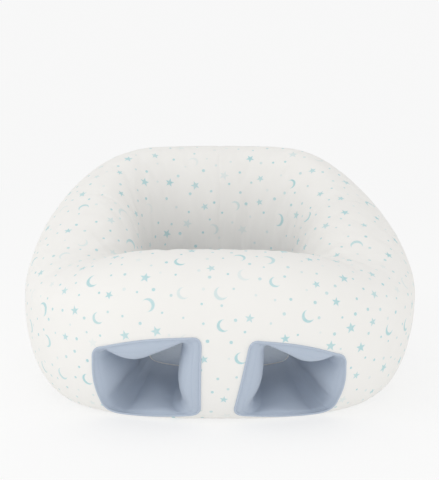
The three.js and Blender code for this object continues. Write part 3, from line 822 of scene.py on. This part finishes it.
def cloth_piece(name, mesh, materials, node, thickness=CLOTH):
    """The mesh as a piece of cloth of its real thickness, its shown face where the mesh was. Its
    back is kept from spiking out of sharp folds, and all of it above the floor."""
    shown = np.tile(points_of(mesh), (2, 1))
    for material in materials:
        mesh.materials.append(material)
    made = new_object(name, mesh)
    wall = made.modifiers.new("Thickness", "SOLIDIFY")
    wall.thickness, wall.offset, wall.use_even_offset = thickness, -1, True
    wall.material_offset = 1
    bake(made)
    reach = points_of(made.data) - shown
    length = np.maximum(np.linalg.norm(reach, axis=1, keepdims=True), 1e-9)
    points = shown + reach * np.minimum(1, MOST_REACH * thickness / length)
    points[:, 2] = np.maximum(points[:, 2], FLOOR_CLEARANCE)
    move_points(made.data, points)
    made.data.set_sharp_from_angle(angle=math.radians(50))
    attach(made, "root")
    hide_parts(node)


def printed_piece(name, node, turns, places, margin):
    mesh, flat = ring_panel(name, *turns, *places, margin)
    motifs.lay(mesh, "motif")
    dots.lay(mesh, "dot")
    cloth_piece(name, mesh, (printed, reverse), node)


HEM, COVER_HOLE_MARGIN = 0.045, 0.0011
for name, low, high, fillings in (
    ("cover_front", -SIDE_SEAM, SIDE_SEAM, ("front_roll", "arm_left", "arm_right")),
    ("cover_back_left", SIDE_SEAM, math.pi, ("arm_left", "back")),
    ("cover_back_right", math.pi, 2 * math.pi - SIDE_SEAM, ("arm_right", "back")),
):
    rests_on = [filling + "_filling" for filling in fillings]
    printed_piece(name, name + "_panel", (low, high), (HEM, 3.0), COVER_HOLE_MARGIN)

# Well lining. The same printed knit, plain on its back, down the wall of the well from the seam
# to behind the edge of the seat, with its own two leg holes.

LINING_PLACES, LINING_HOLE_MARGIN, ALL_ROUND = (3.0, 3.80), -0.0014, (0, 2 * math.pi)
name, rests_on = "well_lining_cloth", ["back_filling"]
printed_piece(name, "well_lining", ALL_ROUND, LINING_PLACES, LINING_HOLE_MARGIN)

# Seat panel. Plain woven blue cotton over the flat pad. It is eased over the pad's edge and sewn
# down all round it.

SEAT_EDGE, SEAT_CROWN, SEAT_SKIRT, SEAT_HOLLOW, GATHER = 0.0360, 0.006, 0.010, 0.0035, 0.0007
EDGE_START, EDGE_END = 0.80, 0.92
SEAT_CELLS, SEAT_GAP = 72, 0.0004
WEAVE_PITCH = 0.00062


def woven_cotton():
    finish = Finish("blue_cotton")
    place = finish.place()
    u, v, _ = finish.parts(finish.stored("cloth_run"))
    weave = u.wave(WEAVE_PITCH) * v.wave(WEAVE_PITCH) * 0.5 + 0.5
    slub = finish.noise(place, 260.0, 3.0, 0.6)
    wide = finish.noise(place, 22.0)
    shade = (0.25 * weave + 0.35 * slub + 0.4 * wide).held()
    colour = finish.mix(shade, (0.425, 0.492, 0.592, 1), (0.490, 0.555, 0.650, 1))
    soft = finish.bump(wide, 0.0012, 0.35)
    return finish.done(
        Base_Color=colour,
        Roughness=0.84 + 0.10 * slub,
        Normal=finish.bump(weave * 0.7 + slub * 0.5, 0.00016, 0.6, soft),
        Sheen_Weight=0.15,
    )


def seat_sheet():
    steps = np.linspace(-1, 1, SEAT_CELLS + 1)
    u, v = np.meshgrid(steps, steps, indexing="ij")
    x, y = u * np.sqrt(1 - v * v / 2), v * np.sqrt(1 - u * u / 2)
    share, turn = np.hypot(x, y), np.arctan2(x, -y)
    inner, edge = np.minimum(share / EDGE_END, 1), eased(share, EDGE_START, EDGE_END)
    radius = (Ring(turn).well_radius(SEAT_EDGE) + SEAT_GAP) * inner
    skirt = np.clip((share - EDGE_END) / (1 - EDGE_END), 0, 1) * SEAT_SKIRT
    gathers = GATHER * np.sin(turn * 34 + 2 * np.sin(turn * 5)) * eased(share, 0.55, EDGE_END)
    top = SEAT_EDGE + SEAT_CROWN * (1 - inner**2) - 0.0022 * edge**2
    z = top - skirt - SEAT_HOLLOW * bell(share, 0.5) + gathers
    points = spun(turn, radius, z)
    mesh = grid_mesh("seat_panel_cloth", points)
    stamp(mesh, "cloth_run", "POINT", points * (1, 1, 0))
    return mesh


cotton, mesh = woven_cotton(), seat_sheet()
name, flat, rests_on = "seat_panel_cloth", cut_size(mesh, SEAT_CELLS + 1), ["seat_filling"]
cloth_piece(name, mesh, (cotton,), "seat_panel")

# Leg funnels. Each is four panels of the blue cotton, sewn along the corners, that line a leg hole
# from its rim back to the well. At the rim their edge is rolled out over the cover and topstitched.

FUNNEL_STEPS, ROLL_STEPS, ROLL_RADIUS = 40, 8, 0.0013
ROLL_START, ROLL_END, RIM_CROWDING, EXIT_SETBACK = -25, 195, 1.35, 0.017
OVERHANG_END, SWELL_END, SWELL_FADE = 0.13, 0.26, 0.55
CORNER_DEPTH, CORNER_WIDTH, LINING_SLACK = 0.0004, 0.0018, 0.0011


def funnel_y(share):
    return share * (RIM_REACH - EXIT_REACH) - RIM_REACH


def funnel_profile(t):
    """How far the roof droops and the walls swell at each share of the way in from the rim."""
    ends = np.array([OVERHANG_END, SWELL_END])
    hang, fill = np.sqrt(1 - (1 - np.clip(t / ends, 0, 1)) ** 2)
    droop = hang * (1 - (1 - EXIT_DROOP) * eased(t, 0.45, 1.0))
    fade = np.sin(np.pi / 2 * np.clip((1 - t) / SWELL_FADE, 0, 1))
    return droop, fill * (EXIT_SWELL + (1 - EXIT_SWELL) * fade)


def outline_at(share, droop, swell, hand):
    """The outline's own point for each of a full round of shares."""
    picked = np.arange(len(share))
    return funnel_outline(share, droop, swell, hand)[picked, picked]


def funnel_end(low, high, droop, swell, hand):
    """Finds the share at which each line of the funnel meets the ring's outside, where there is no
    droop yet, or else its well."""
    low, high = np.full(4 * SIDE_POINTS, low), np.full(4 * SIDE_POINTS, high)
    for _ in range(26):
        middle = (low + high) / 2
        x, z = outline_at(middle, droop, swell, hand).T
        y, z = funnel_y(middle), np.maximum(z, 0.0)
        ring = Ring(np.arctan2(hand * x, -y))
        early = np.hypot(x, y) > (ring.well_radius(z) if droop else ring.outer_radius(z))
        low, high = np.where(early, middle, low), np.where(early, high, middle)
    return (low + high) / 2


def funnel_surface(hand):
    """Points of a funnel, by place round its outline and step along it, rim first, with both
    funnels given as if on the left."""
    rim = funnel_end(-0.45, 0.5, 0.0, 0.0, hand)
    far = funnel_end(0.5, 1.3, EXIT_DROOP, EXIT_SWELL, hand) - EXIT_SETBACK
    rows = []
    for t in np.linspace(0, 1, FUNNEL_STEPS + 1) ** RIM_CROWDING:
        share = rim + (far - rim) * t
        flat = outline_at(share, *funnel_profile(t), hand)
        trip = np.roll(flat, -1, 0) - np.roll(flat, 1, 0)
        inward = unit(np.stack([-trip[:, 1], trip[:, 0]], -1))
        x, z = (flat + inward * CLOTH * eased(t, 0.0, 0.04)).T
        rows.append(np.stack([x, funnel_y(share), z], -1))
    surface = np.stack(rows, 1)
    edge = surface[:, 0]
    x, y, z = edge.T
    ring, radius = Ring(np.arctan2(hand * x, -y)), np.hypot(x, y)
    slope = (ring.outer_radius(z + 1e-4) - ring.outer_radius(z - 1e-4)) / 2e-4
    out = unit(np.stack([x / radius, y / radius, -slope], -1))
    aside = unit(np.cross(np.roll(edge, -1, 0) - np.roll(edge, 1, 0), out))
    if aside[0] @ (edge[0] - edge.mean(0)) < 0:
        aside = -aside
    middle = edge + aside * ROLL_RADIUS * 0.1
    angles = np.radians(np.linspace(ROLL_START, ROLL_END, ROLL_STEPS))
    roll = [middle + (aside * math.cos(a) + out * math.sin(a)) * ROLL_RADIUS for a in angles]
    return np.concatenate([np.stack(roll, 1), surface[:, 1:]], 1)


funnels = {hand: funnel_surface(hand) for hand in (1, -1)}
depth = np.append(np.zeros(ROLL_STEPS), np.arange(1, FUNNEL_STEPS + 1) / FUNNEL_STEPS)
for side_name, hand in (("left", 1), ("right", -1)):
    surface = funnels[hand]
    trip = np.roll(surface, -1, 0) - np.roll(surface, 1, 0)
    inward = unit(np.cross(trip, np.gradient(surface, axis=1)))
    for side, part_name in enumerate(("floor", "outer_wall", "roof", "inner_wall")):
        columns = (side * SIDE_POINTS + np.arange(SIDE_POINTS + 1)) % (4 * SIDE_POINTS)
        points, facing = surface[columns], inward[columns]
        x, y, z = np.moveaxis(points, -1, 0)
        steps = np.diff(points, axis=0, prepend=points[:1])
        across = np.cumsum(norm(steps), 0)
        reach = np.minimum(across, across[-1] - across)
        seam = -CORNER_DEPTH * bell(reach, CORNER_WIDTH) * eased(depth, 0.0, 0.05)
        slack = np.sin(x * 96 + z * 41 + 3 * np.sin(y * 33)) * np.sin(y * 61 - z * 57 + 1.3)
        slack = LINING_SLACK * slack * eased(depth, 0.03, 0.2) * eased(reach, 0.0, 0.012)
        points = points + facing * (seam + slack)[..., None]
        along = np.cumsum(norm(np.gradient(points, axis=1)), 1)
        name = f"leg_{side_name}_{part_name}"
        mesh = grid_mesh(name, points * (hand, 1, 1), hand)
        stamp(mesh, "cloth_run", "POINT", np.stack([across, along, 0 * along], -1))
        flat = cut_size(mesh, len(columns))
        rests_on = [f"leg_{side_name}_ramp_filling"] if side == 0 else ["front_roll_filling"]
        cloth_piece(name + "_cloth", mesh, (cotton,), name)

# Base. Two panels of thick non-slip cloth, dotted with soft grips, that meet in a seam at both
# ends of the zip and are parted by its slot. Their edge is sewn into the foot of the cover.

BASE_CLOTH, BASE_CELL, BASE_LIFT, BASE_OVERLAP = 0.0034, 0.0032, 0.0006, 0.0042
ZIP_Y, SLOT_HALF_WIDTH, SLOT_HALF_LENGTH = 0.064, 0.007, 0.141
EDGE_RISE, SEAM_RISE, RIPPLE = 0.0016, 0.0012, 0.0003


def nonslip_cloth():
    finish = Finish("nonslip_cloth")
    place = finish.place()
    x, y, _ = finish.parts(place)
    weave = x.wave(0.0011) * y.wave(0.0011) * 0.5 + 0.5
    fleck = finish.noise(place, 700.0, 3.0, 0.7)
    shade = (weave * 0.4 + fleck * 0.6).held()
    return finish.done(
        Base_Color=finish.mix(shade, (0.62, 0.62, 0.61, 1), (0.76, 0.76, 0.75, 1)),
        Roughness=0.8 + 0.15 * fleck,
        Normal=finish.bump(weave + fleck * 0.6, 0.0003, 0.6),
    )


def base_edge(x, y):
    """How far a place lies in from the base's edge, and out from the slot of the zip."""
    edge = Ring(np.arctan2(x, -y)).base + BASE_OVERLAP - np.hypot(x, y)
    beside = np.maximum(np.abs(x) - SLOT_HALF_LENGTH, np.abs(y - ZIP_Y) - SLOT_HALF_WIDTH)
    return edge, beside


def base_points(x, y, sunk=0.0):
    """Points on the base's shown side, or sunk below it by so much."""
    edge, beside = base_edge(x, y)
    seam = np.maximum(np.minimum(beside, np.abs(y - ZIP_Y)), 0)
    rise = EDGE_RISE * (1 - eased(edge, 0.0, 0.010)) + SEAM_RISE * (1 - eased(seam, 0.0, 0.0028))
    ripple = RIPPLE * np.sin(x * 70 + 1) * np.sin(y * 63)
    z = BASE_LIFT + rise + ripple * eased(np.minimum(edge, seam), 0.004, 0.02)
    return np.stack([x, y, z - sunk], -1)


def base_panel(name, toward):
    """The panel in front of the zip, or behind it where toward is 1, on a grid that is finer by the
    seam and by both ends of the slot."""
    near_end = np.append(np.arange(-0.006, 0.0061, 0.0012), (-0.0001, 0.0001))
    ends = [near_end - SLOT_HALF_LENGTH, near_end + SLOT_HALF_LENGTH]
    x_steps = np.unique(np.concatenate([np.arange(-0.2, 0.2001, BASE_CELL), *ends]))
    near_seam = np.append((-0.001, 0, 0.0001), np.arange(0.001, 0.0131, 0.001))
    from_seam = np.append(near_seam, np.arange(0.0155, 0.25, BASE_CELL))
    y_steps = ZIP_Y + toward * from_seam[from_seam < (0.13 if toward > 0 else 0.25)]
    x, y = np.meshgrid(x_steps, y_steps, indexing="ij")
    edge, beside = base_edge(x, y)
    gap = np.minimum(np.minimum(edge, beside), toward * (y - ZIP_Y) - SEAM_PARTING)
    mesh = grid_mesh(name, base_points(x, y), -toward)
    cut_holes(mesh, gap.ravel())
    return mesh


nonslip, rests_on = nonslip_cloth(), ["seat_filling"]
for name, toward, flat in (("base_front", -1, (0.381, 0.236)), ("base_rear", 1, (0.377, 0.109))):
    mesh, node = base_panel(name, toward), name + "_panel"
    cloth_piece(name, mesh, (nonslip,), node, BASE_CLOTH)

# Grips and stitches. Rows of soft silicone dots are pressed on the base to hold it on a smooth
# floor. A topstitch runs inside the base's edge and beside the zip, and one round each leg rim.


def grown(name, points, edges, material, shape, takes, sizes):
    """A small shape on each of the points, or at even steps along the edges if there are any. The
    sizes are the tree's own inputs, and the shape takes a number or one of them by each socket."""
    made = new_object(name, bpy.data.meshes.new(name))
    made.data.from_pydata(points.tolist(), edges, [])
    tree = bpy.data.node_groups.new(name, "GeometryNodeTree")
    growth = made.modifiers.new("Growth", "NODES")
    tree.interface.new_socket("Geometry", in_out="INPUT", socket_type="NodeSocketGeometry")
    identifiers = {}
    for key, value in sizes.items():
        socket = tree.interface.new_socket(key, in_out="INPUT", socket_type="NodeSocketFloat")
        socket.default_value = value
        identifiers[key] = socket.identifier
    tree.interface.new_socket("Geometry", in_out="OUTPUT", socket_type="NodeSocketGeometry")
    given = tree.nodes.new("NodeGroupInput").outputs

    def node(kind, output, mode=None, **values):
        built = tree.nodes.new(kind)
        if mode:
            built.mode = mode
        for key, value in values.items():
            socket = built.inputs[key.replace("_", " ")]
            if isinstance(value, bpy.types.NodeSocket):
                tree.links.new(value, socket)
            else:
                socket.default_value = value
        return built.outputs[output]

    takes = {k: given[v] if isinstance(v, str) else v for k, v in takes.items()}
    placing = {"Points": given["Geometry"], "Instance": node(shape, "Mesh", **takes)}
    if edges:
        path = node("GeometryNodeMeshToCurve", "Curve", Mesh=given["Geometry"])
        steps = node(
            "GeometryNodeCurveToPoints", "Points", "LENGTH", Curve=path, Length=given["Pitch"]
        )
        scale = node("ShaderNodeCombineXYZ", "Vector", X=1.0, Y=1.0, Z=given["Stretch"])
        placing |= {"Points": steps, "Rotation": steps.node.outputs["Rotation"], "Scale": scale}
    placed = node("GeometryNodeInstanceOnPoints", "Instances", **placing)
    real = node("GeometryNodeRealizeInstances", "Geometry", Geometry=placed)
    dressed = node("GeometryNodeSetMaterial", "Geometry", Geometry=real, Material=material)
    tree.links.new(dressed, tree.nodes.new("NodeGroupOutput").inputs["Geometry"])
    growth.node_group = tree
    for key, value in sizes.items():
        growth[identifiers[key]] = value
    bake(made)
    if not made.data.materials:
        made.data.materials.append(material)
    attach(made, "root")


def mottled(name, scale, rough, spread, dark, light):
    finish = Finish(name)
    mottle = finish.noise(finish.place(), scale)
    colour = finish.mix(mottle, (*dark, 1), (*light, 1))
    return finish.done(Base_Color=colour, Roughness=rough + spread * mottle)


DOT_PITCH, DOT_ROWS, DOT_SINK, STITCH_SINK, STITCH_INSET = 0.0090, 0.0078, 0.0002, 0.0001, 0.0085
CONE = {"Vertices": 8, "Radius_Top": "Root", "Radius_Bottom": "Tip", "Depth": "Height"}
CONE_SIZES = {"Root": 0.0018, "Tip": 0.0013, "Height": 0.0004}
SPHERE = {"Segments": 6, "Rings": 4, "Radius": "Thread radius"}
STITCH_SIZES = {"Pitch": 0.0032, "Stretch": 4.2, "Thread radius": 0.00028}

rows = np.arange(-24, 24)
x, y = np.meshgrid(np.arange(-24, 25) * DOT_PITCH, rows * DOT_ROWS, indexing="ij")
x = x + (rows % 2) * DOT_PITCH / 2
edge, beside = base_edge(x, y)
clear = (edge > 0.013) & (beside > 0.009) & (np.abs(y - ZIP_Y) > 0.0045)
points = base_points(x, y, DOT_SINK)[clear]
silicone = mottled("silicone", 300.0, 0.38, 0.15, (0.70, 0.74, 0.76), (0.80, 0.83, 0.85))
cone = "GeometryNodeMeshCone"
grown("base_grip_dots", points, [], silicone, cone, CONE, CONE_SIZES)


def stitched(name, rows, thread, dark, light):
    """Stitches along closed or open rows of points."""
    points, edges = np.concatenate([row for row, _ in rows]), []
    first = 0
    for row, closed in rows:
        last = first + len(row) - 1
        edges += [(i, i + 1) for i in range(first, last)]
        edges += [(last, first)] if closed else []
        first = last + 1
    thread = mottled(thread, 1600.0, 0.7, 0.15, dark, light)
    grown(name, points, edges, thread, "GeometryNodeMeshUVSphere", SPHERE, STITCH_SIZES)


turn = np.linspace(0, 2 * np.pi, 300, endpoint=False)
inset = Ring(turn).base + BASE_OVERLAP - STITCH_INSET
x, y, _ = spun(turn, inset, turn).T
rows = [(base_points(x, y, STITCH_SINK), True)]
x = np.linspace(-SLOT_HALF_LENGTH + 0.002, SLOT_HALF_LENGTH - 0.002, 60)
for toward in (-1, 1):
    y = np.full(60, ZIP_Y + toward * (SLOT_HALF_WIDTH + 0.0026))
    rows.append((base_points(x, y, STITCH_SINK), False))
white, grey = (0.84, 0.84, 0.83), (0.66, 0.66, 0.65)
stitched("base_stitches", rows, "white_thread", grey, white)
rows = []
for hand, surface in funnels.items():
    row = surface[:, ROLL_STEPS + 1]
    rows.append(((row + (row.mean(0) - row) * 0.004) * (hand, 1, 1), True))
dark_blue, blue = (0.36, 0.43, 0.54), (0.50, 0.57, 0.67)
stitched("rim_stitches", rows, "blue_thread", dark_blue, blue)

# Zip tapes. Two strips of woven polyester tape with a corded inner edge. They are sewn along the
# slot of the base, above its cloth.

TAPE_INNER, TAPE_WIDTH, TAPE_LOW, TAPE_CLOTH = 0.0033, 0.013, 0.0043, 0.0008
TAPE_LONG, TAPE_WIDE, BEAD = 188, 9, 0.0002


def zip_fabric():
    finish = Finish("zip_fabric")
    place = finish.place()
    x, y, _ = finish.parts(place)
    rib = (y * (2 * math.pi / 0.0008) + x.wave(0.0011) * 0.8).sine() * 0.5 + 0.5
    fleck = finish.noise(place, 900.0)
    shade = (rib * 0.5 + fleck * 0.5).held()
    return finish.done(
        Base_Color=finish.mix(shade, (0.70, 0.70, 0.69, 1), (0.86, 0.86, 0.85, 1)),
        Roughness=0.75 + 0.15 * fleck,
        Normal=finish.bump(rib, 0.0002, 0.7),
    )


tape_cloth, rests_on = zip_fabric(), ["base_front_panel"]
for node, toward in (("zip_front_tape", -1), ("zip_rear_tape", 1)):
    steps = toward * (TAPE_INNER + TAPE_WIDTH * np.linspace(0, 1, TAPE_WIDE + 1))
    length = np.linspace(-SLOT_HALF_LENGTH, SLOT_HALF_LENGTH, TAPE_LONG + 1)
    x, y = np.meshgrid(length, ZIP_Y + steps, indexing="ij")
    z = TAPE_LOW - BEAD * bell(np.abs(y - ZIP_Y) - TAPE_INNER, 0.0008) + 0.00008 * np.sin(x * 420)
    name = node + "_cloth"
    mesh = grid_mesh(name, np.stack([x, y, z], -1), -toward)
    flat = cut_size(mesh, TAPE_LONG + 1)
    cloth_piece(name, mesh, (tape_cloth,), node, TAPE_CLOTH)

# Zip chain, stops, slider and pull. Moulded nylon teeth on both tapes, a stop at each end, and a
# die-cast slider with a small stamped pull.


def die_cast():
    finish = Finish("zip_metal")
    place = finish.place()
    brushed = finish.noise(place, 1800.0)
    wear = finish.noise(place, 240.0, 3.0)
    colour = finish.mix(wear, (0.56, 0.56, 0.57, 1), (0.68, 0.68, 0.69, 1))
    return finish.done(
        Base_Color=colour,
        Metallic=1.0,
        Roughness=0.26 + 0.12 * wear,
        Normal=finish.bump(brushed, 0.00003, 0.4),
    )


nylon = mottled("zip_nylon", 500.0, 0.30, 0.12, (0.80, 0.80, 0.78), (0.88, 0.88, 0.86))
for finish, nodes in (
    (nylon, ("zip_front_teeth", "zip_rear_teeth", "zip_left_stop", "zip_right_stop")),
    (die_cast(), ("zip_slider", "zip_pull")),
):
    for node in nodes:
        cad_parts[node].data.materials.clear()
        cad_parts[node].data.materials.append(finish)

# Studio. A pale floor that fades into a white backdrop, lit by a soft key lamp from the left of
# the picture, a wide lamp in front, a weak fill lamp from the right and one lamp overhead.

camera = new_object("camera", bpy.data.cameras.new("camera"))
stage.camera = camera
camera.location = (0.0005, -1.8409, 0.5701)
camera.rotation_euler = (math.radians(77.707), 0, 0)
camera.data.lens, camera.data.sensor_width, camera.data.clip_end = 116.74, 36, 50

BACKDROP, FLOOR_GLOW, BOUNCE_GLOW, SKY = 0.935, 0.665, 0.48, 0.82
FADE_START, FADE_LENGTH = 0.45, 0.9


def studio_floor():
    """Near the seat it takes shadows, and further off it glows as the backdrop. What it throws
    back on the seat is a plain soft light."""
    finish = Finish("studio_floor")

    def glowing(strength):
        return finish.node("Emission", None, {"Strength": strength})["Emission"]

    def lit(red, green, blue, glow):
        matt = finish.node("BsdfDiffuse", None, {"Color": (red, green, blue, 1)})["BSDF"]
        return finish.node("AddShader", None, {0: matt, 1: glowing(glow)})["Shader"]

    def blend(share, a, b):
        return finish.node("MixShader", None, {0: share, 1: a, 2: b})["Shader"]

    x, y, _ = finish.parts(finish.place())
    faded = ((hypotenuse(x, y) - FADE_START) / FADE_LENGTH).held()
    path = finish.node("LightPath")
    seen = path["Is Camera Ray"].most(path["Is Glossy Ray"]).most(path["Is Transmission Ray"])
    shown = blend(faded, lit(0.30, 0.30, 0.298, FLOOR_GLOW), glowing(BACKDROP))
    surface = blend(seen, lit(0.50, 0.50, 0.495, BOUNCE_GLOW), shown)
    finish.node("OutputMaterial", None, {"Surface": surface})
    return finish.material


mesh = mesh_of("floor", [(-6, -6, 0), (6, -6, 0), (6, 6, 0), (-6, 6, 0)], [(0, 1, 2, 3)])
mesh.materials.append(studio_floor())
new_object("floor", mesh)

for name, place, power, size in (
    ("key", (-2.1, -0.9, 1.3), 9, 1.4),
    ("front", (0.1, -2.6, 0.30), 13, 2.4),
    ("fill", (2.2, -1.0, 0.7), 3.5, 1.6),
    ("top", (-0.3, 0.2, 2.2), 3, 1.8),
):
    lamp = new_object(name, bpy.data.lights.new(name, "AREA"))
    lamp.data.energy, lamp.data.size = power, size
    lamp.location = place
    aim = Vector((0, 0, 0.1)) - lamp.location
    lamp.rotation_euler = aim.to_track_quat("-Z", "Y").to_euler()

world = bpy.data.worlds.new("studio")
stage.world = world
world.use_nodes = True
tree = world.node_tree
tree.nodes.clear()
output, mixed, path = (
    tree.nodes.new("ShaderNode" + kind) for kind in ("OutputWorld", "MixShader", "LightPath")
)
for number, strength in ((1, SKY), (2, BACKDROP)):
    light = tree.nodes.new("ShaderNodeBackground")
    light.inputs["Color"].default_value = (1, 1, 1, 1)
    light.inputs["Strength"].default_value = strength
    tree.links.new(light.outputs[0], mixed.inputs[number])
tree.links.new(path.outputs["Is Camera Ray"], mixed.inputs[0])
tree.links.new(mixed.outputs[0], output.inputs[0])
stage.view_settings.view_transform = "Standard"
